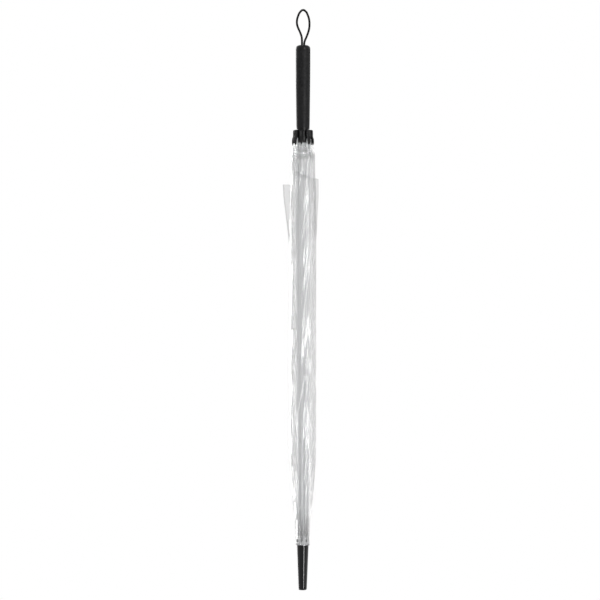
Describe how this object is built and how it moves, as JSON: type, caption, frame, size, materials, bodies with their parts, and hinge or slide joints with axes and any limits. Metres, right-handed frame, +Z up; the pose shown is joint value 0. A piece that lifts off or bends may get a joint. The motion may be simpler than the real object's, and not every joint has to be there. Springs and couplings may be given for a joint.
{
  "type": "stick umbrella",
  "caption": "Clear-film stick umbrella, closed, hanging by a cord loop from a straight black grip; it opens by a sliding runner.",
  "frame": {"origin": "the point inside the top of the wrist loop where the umbrella hangs", "axes": "+Z up along the shaft from the ferrule to the grip; -Y towards the viewer of the closed umbrella; +X to that viewer's right"},
  "size_m": [0.068, 0.049, 1.0458],
  "materials": {
    "shaft_metal": "satin white-grey coating over a metal tube",
    "steel": "bright drawn wire",
    "black_plastic": "moulded, semi-gloss",
    "grip_foam": "soft matt foam with a fine grain",
    "cord": "round braided cord",
    "white_plastic": "moulded, satin",
    "fibreglass": "pultruded rod, smooth",
    "film": "clear glossy film"
  },
  "bodies": {
    "handle_and_shaft": {"shaft": "shaft_metal", "ferrule": "black_plastic", "crown": "black_plastic", "crown_wire": "steel", "crown_cap": "black_plastic", "stop_pin": "steel", "tip_seat": "black_plastic", "grip": "grip_foam", "end_cap": "black_plastic", "cord_knot": "cord", "wrist_cord": "cord"},
    "runner": {"runner": "white_plastic", "runner_wire": "steel"},
    "closing_catch": {"closing_catch": "steel"},
    "opening_catch": {"opening_catch": "steel"},
    "rib_1": {"rib_1": "fibreglass", "rib_tip_1": "black_plastic"},
    "stretcher_1": {"stretcher_1": "fibreglass"},
    "rib_2": {"rib_2": "fibreglass", "rib_tip_2": "black_plastic"},
    "stretcher_2": {"stretcher_2": "fibreglass"},
    "rib_3": {"rib_3": "fibreglass", "rib_tip_3": "black_plastic"},
    "stretcher_3": {"stretcher_3": "fibreglass"},
    "rib_4": {"rib_4": "fibreglass", "rib_tip_4": "black_plastic"},
    "stretcher_4": {"stretcher_4": "fibreglass"},
    "rib_5": {"rib_5": "fibreglass", "rib_tip_5": "black_plastic"},
    "stretcher_5": {"stretcher_5": "fibreglass"},
    "rib_6": {"rib_6": "fibreglass", "rib_tip_6": "black_plastic"},
    "stretcher_6": {"stretcher_6": "fibreglass"},
    "rib_7": {"rib_7": "fibreglass", "rib_tip_7": "black_plastic"},
    "stretcher_7": {"stretcher_7": "fibreglass"},
    "rib_8": {"rib_8": "fibreglass", "rib_tip_8": "black_plastic"},
    "stretcher_8": {"stretcher_8": "fibreglass"},
    "panel_left_1": {"panel_left_1": "film"},
    "panel_right_1": {"panel_right_1": "film"},
    "panel_left_2": {"panel_left_2": "film"},
    "panel_right_2": {"panel_right_2": "film"},
    "panel_left_3": {"panel_left_3": "film"},
    "panel_right_3": {"panel_right_3": "film"},
    "panel_left_4": {"panel_left_4": "film"},
    "panel_right_4": {"panel_right_4": "film"},
    "panel_left_5": {"panel_left_5": "film"},
    "panel_right_5": {"panel_right_5": "film"},
    "panel_left_6": {"panel_left_6": "film"},
    "panel_right_6": {"panel_right_6": "film"},
    "panel_left_7": {"panel_left_7": "film"},
    "panel_right_7": {"panel_right_7": "film"},
    "panel_left_8": {"panel_left_8": "film"},
    "panel_right_8": {"panel_right_8": "film"}
  },
  "joints": [
    {"name": "runner_slide", "type": "slide", "parent": "handle_and_shaft", "child": "runner", "axis": [0, 0, -1], "range_m": [0, 0.33803]},
    {"name": "closing_catch_press", "type": "slide", "parent": "handle_and_shaft", "child": "closing_catch", "axis": [-0.1392, -0.9903, 0], "range_m": [0, 0.0012], "stiffness_N_per_m": 2500},
    {"name": "opening_catch_press", "type": "slide", "parent": "handle_and_shaft", "child": "opening_catch", "axis": [-0.1392, -0.9903, 0], "range_m": [0, 0.0012], "stiffness_N_per_m": 2500},
    {"name": "rib_1_turn", "type": "hinge", "parent": "handle_and_shaft", "child": "rib_1", "pos_m": [0.00759, 0.00572, -0.95], "axis": [-0.6018, 0.7986, 0], "range_deg": [0, 60]},
    {"name": "stretcher_1_turn", "type": "hinge", "parent": "rib_1", "child": "stretcher_1", "pos_m": [0.00899, 0.00677, -0.61501], "axis": [-0.6018, 0.7986, 0], "range_deg": [-120, 0]},
    {"name": "rib_2_turn", "type": "hinge", "parent": "handle_and_shaft", "child": "rib_2", "pos_m": [0.00132, 0.00941, -0.95], "axis": [-0.9903, 0.1392, 0], "range_deg": [0, 60]},
    {"name": "stretcher_2_turn", "type": "hinge", "parent": "rib_2", "child": "stretcher_2", "pos_m": [0.00157, 0.01115, -0.61501], "axis": [-0.9903, 0.1392, 0], "range_deg": [-120, 0]},
    {"name": "rib_3_turn", "type": "hinge", "parent": "handle_and_shaft", "child": "rib_3", "pos_m": [-0.00572, 0.00759, -0.95], "axis": [-0.7986, -0.6018, 0], "range_deg": [0, 60]},
    {"name": "stretcher_3_turn", "type": "hinge", "parent": "rib_3", "child": "stretcher_3", "pos_m": [-0.00677, 0.00899, -0.61501], "axis": [-0.7986, -0.6018, 0], "range_deg": [-120, 0]},
    {"name": "rib_4_turn", "type": "hinge", "parent": "handle_and_shaft", "child": "rib_4", "pos_m": [-0.00941, 0.00132, -0.95], "axis": [-0.1392, -0.9903, 0], "range_deg": [0, 60]},
    {"name": "stretcher_4_turn", "type": "hinge", "parent": "rib_4", "child": "stretcher_4", "pos_m": [-0.01115, 0.00157, -0.61501], "axis": [-0.1392, -0.9903, 0], "range_deg": [-120, 0]},
    {"name": "rib_5_turn", "type": "hinge", "parent": "handle_and_shaft", "child": "rib_5", "pos_m": [-0.00759, -0.00572, -0.95], "axis": [0.6018, -0.7986, 0], "range_deg": [0, 60]},
    {"name": "stretcher_5_turn", "type": "hinge", "parent": "rib_5", "child": "stretcher_5", "pos_m": [-0.00899, -0.00677, -0.61501], "axis": [0.6018, -0.7986, 0], "range_deg": [-120, 0]},
    {"name": "rib_6_turn", "type": "hinge", "parent": "handle_and_shaft", "child": "rib_6", "pos_m": [-0.00132, -0.00941, -0.95], "axis": [0.9903, -0.1392, 0], "range_deg": [0, 60]},
    {"name": "stretcher_6_turn", "type": "hinge", "parent": "rib_6", "child": "stretcher_6", "pos_m": [-0.00157, -0.01115, -0.61501], "axis": [0.9903, -0.1392, 0], "range_deg": [-120, 0]},
    {"name": "rib_7_turn", "type": "hinge", "parent": "handle_and_shaft", "child": "rib_7", "pos_m": [0.00572, -0.00759, -0.95], "axis": [0.7986, 0.6018, 0], "range_deg": [0, 60]},
    {"name": "stretcher_7_turn", "type": "hinge", "parent": "rib_7", "child": "stretcher_7", "pos_m": [0.00677, -0.00899, -0.61501], "axis": [0.7986, 0.6018, 0], "range_deg": [-120, 0]},
    {"name": "rib_8_turn", "type": "hinge", "parent": "handle_and_shaft", "child": "rib_8", "pos_m": [0.00941, -0.00132, -0.95], "axis": [0.1392, 0.9903, 0], "range_deg": [0, 60]},
    {"name": "stretcher_8_turn", "type": "hinge", "parent": "rib_8", "child": "stretcher_8", "pos_m": [0.01115, -0.00157, -0.61501], "axis": [0.1392, 0.9903, 0], "range_deg": [-120, 0]},
    {"name": "panel_left_1_turn", "type": "hinge", "parent": "rib_1", "child": "panel_left_1", "pos_m": [0.00645, 0.00723, -0.95], "axis": [-0.5138, -0.7089, -0.4832], "range_deg": [0, 22.14]},
    {"name": "panel_right_1_turn", "type": "hinge", "parent": "rib_2", "child": "panel_right_1", "pos_m": [0.00319, 0.00915, -0.95], "axis": [0.3709, 0.793, 0.4832], "range_deg": [0, 22.14]},
    {"name": "panel_left_2_turn", "type": "hinge", "parent": "rib_2", "child": "panel_left_2", "pos_m": [-0.00055, 0.00967, -0.95], "axis": [0.138, -0.8646, -0.4832], "range_deg": [0, 22.14]},
    {"name": "panel_right_2_turn", "type": "hinge", "parent": "rib_3", "child": "panel_right_2", "pos_m": [-0.00421, 0.00872, -0.95], "axis": [-0.2985, 0.8231, 0.4832], "range_deg": [0, 22.14]},
    {"name": "panel_left_3_turn", "type": "hinge", "parent": "rib_3", "child": "panel_left_3", "pos_m": [-0.00723, 0.00645, -0.95], "axis": [0.7089, -0.5138, -0.4832], "range_deg": [0, 22.14]},
    {"name": "panel_right_3_turn", "type": "hinge", "parent": "rib_4", "child": "panel_right_3", "pos_m": [-0.00915, 0.00319, -0.95], "axis": [-0.793, 0.3709, 0.4832], "range_deg": [0, 22.14]},
    {"name": "panel_left_4_turn", "type": "hinge", "parent": "rib_4", "child": "panel_left_4", "pos_m": [-0.00967, -0.00055, -0.95], "axis": [0.8646, 0.138, -0.4832], "range_deg": [0, 22.14]},
    {"name": "panel_right_4_turn", "type": "hinge", "parent": "rib_5", "child": "panel_right_4", "pos_m": [-0.00872, -0.00421, -0.95], "axis": [-0.8231, -0.2985, 0.4832], "range_deg": [0, 22.14]},
    {"name": "panel_left_5_turn", "type": "hinge", "parent": "rib_5", "child": "panel_left_5", "pos_m": [-0.00645, -0.00723, -0.95], "axis": [0.5138, 0.7089, -0.4832], "range_deg": [0, 22.14]},
    {"name": "panel_right_5_turn", "type": "hinge", "parent": "rib_6", "child": "panel_right_5", "pos_m": [-0.00319, -0.00915, -0.95], "axis": [-0.3709, -0.793, 0.4832], "range_deg": [0, 22.14]},
    {"name": "panel_left_6_turn", "type": "hinge", "parent": "rib_6", "child": "panel_left_6", "pos_m": [0.00055, -0.00967, -0.95], "axis": [-0.138, 0.8646, -0.4832], "range_deg": [0, 22.14]},
    {"name": "panel_right_6_turn", "type": "hinge", "parent": "rib_7", "child": "panel_right_6", "pos_m": [0.00421, -0.00872, -0.95], "axis": [0.2985, -0.8231, 0.4832], "range_deg": [0, 22.14]},
    {"name": "panel_left_7_turn", "type": "hinge", "parent": "rib_7", "child": "panel_left_7", "pos_m": [0.00723, -0.00645, -0.95], "axis": [-0.7089, 0.5138, -0.4832], "range_deg": [0, 22.14]},
    {"name": "panel_right_7_turn", "type": "hinge", "parent": "rib_8", "child": "panel_right_7", "pos_m": [0.00915, -0.00319, -0.95], "axis": [0.793, -0.3709, 0.4832], "range_deg": [0, 22.14]},
    {"name": "panel_left_8_turn", "type": "hinge", "parent": "rib_8", "child": "panel_left_8", "pos_m": [0.00967, 0.00055, -0.95], "axis": [-0.8646, -0.138, -0.4832], "range_deg": [0, 22.14]},
    {"name": "panel_right_8_turn", "type": "hinge", "parent": "rib_1", "child": "panel_right_8", "pos_m": [0.00872, 0.00421, -0.95], "axis": [0.8231, 0.2985, 0.4832], "range_deg": [0, 22.14]}
  ],
  "couplings": [
    {"joint": "rib_1_turn", "follows": "runner_slide", "rad_per_m": 3.0979},
    {"joint": "stretcher_1_turn", "follows": "runner_slide", "rad_per_m": -6.1958},
    {"joint": "rib_2_turn", "follows": "runner_slide", "rad_per_m": 3.0979},
    {"joint": "stretcher_2_turn", "follows": "runner_slide", "rad_per_m": -6.1958},
    {"joint": "rib_3_turn", "follows": "runner_slide", "rad_per_m": 3.0979},
    {"joint": "stretcher_3_turn", "follows": "runner_slide", "rad_per_m": -6.1958},
    {"joint": "rib_4_turn", "follows": "runner_slide", "rad_per_m": 3.0979},
    {"joint": "stretcher_4_turn", "follows": "runner_slide", "rad_per_m": -6.1958},
    {"joint": "rib_5_turn", "follows": "runner_slide", "rad_per_m": 3.0979},
    {"joint": "stretcher_5_turn", "follows": "runner_slide", "rad_per_m": -6.1958},
    {"joint": "rib_6_turn", "follows": "runner_slide", "rad_per_m": 3.0979},
    {"joint": "stretcher_6_turn", "follows": "runner_slide", "rad_per_m": -6.1958},
    {"joint": "rib_7_turn", "follows": "runner_slide", "rad_per_m": 3.0979},
    {"joint": "stretcher_7_turn", "follows": "runner_slide", "rad_per_m": -6.1958},
    {"joint": "rib_8_turn", "follows": "runner_slide", "rad_per_m": 3.0979},
    {"joint": "stretcher_8_turn", "follows": "runner_slide", "rad_per_m": -6.1958},
    {"joint": "panel_left_1_turn", "follows": "runner_slide", "rad_per_m": 1.1431},
    {"joint": "panel_right_1_turn", "follows": "runner_slide", "rad_per_m": 1.1431},
    {"joint": "panel_left_2_turn", "follows": "runner_slide", "rad_per_m": 1.1431},
    {"joint": "panel_right_2_turn", "follows": "runner_slide", "rad_per_m": 1.1431},
    {"joint": "panel_left_3_turn", "follows": "runner_slide", "rad_per_m": 1.1431},
    {"joint": "panel_right_3_turn", "follows": "runner_slide", "rad_per_m": 1.1431},
    {"joint": "panel_left_4_turn", "follows": "runner_slide", "rad_per_m": 1.1431},
    {"joint": "panel_right_4_turn", "follows": "runner_slide", "rad_per_m": 1.1431},
    {"joint": "panel_left_5_turn", "follows": "runner_slide", "rad_per_m": 1.1431},
    {"joint": "panel_right_5_turn", "follows": "runner_slide", "rad_per_m": 1.1431},
    {"joint": "panel_left_6_turn", "follows": "runner_slide", "rad_per_m": 1.1431},
    {"joint": "panel_right_6_turn", "follows": "runner_slide", "rad_per_m": 1.1431},
    {"joint": "panel_left_7_turn", "follows": "runner_slide", "rad_per_m": 1.1431},
    {"joint": "panel_right_7_turn", "follows": "runner_slide", "rad_per_m": 1.1431},
    {"joint": "panel_left_8_turn", "follows": "runner_slide", "rad_per_m": 1.1431},
    {"joint": "panel_right_8_turn", "follows": "runner_slide", "rad_per_m": 1.1431}
  ]
}
